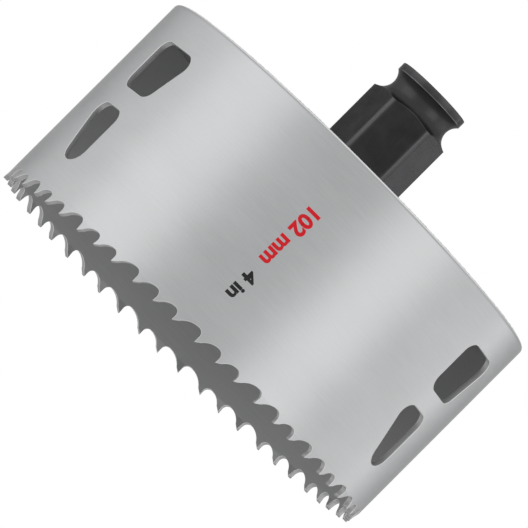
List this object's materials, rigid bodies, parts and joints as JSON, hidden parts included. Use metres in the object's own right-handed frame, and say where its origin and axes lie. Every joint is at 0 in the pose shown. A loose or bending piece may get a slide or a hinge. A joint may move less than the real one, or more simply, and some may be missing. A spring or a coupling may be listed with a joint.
{
  "type": "hole saw",
  "caption": "Cup-shaped hole saw with a toothed and slotted steel band, a back plate and a black hexagonal quick-change shank with a ball groove.",
  "frame": {"origin": "on the saw's axis, in the plane of the tooth tips", "axes": "+Z along the axis from the teeth to the shank, -Y the front of the saw as pictured"},
  "size_m": [0.1022, 0.1023, 0.076],
  "materials": {
    "band_steel": "satin grey steel",
    "plate_steel": "satin grey steel",
    "black_oxide": "black oxide, satin"
  },
  "bodies": {
    "root": {"saw_band": "band_steel", "back_plate": "plate_steel", "hex_adapter": "black_oxide"}
  },
  "joints": []
}
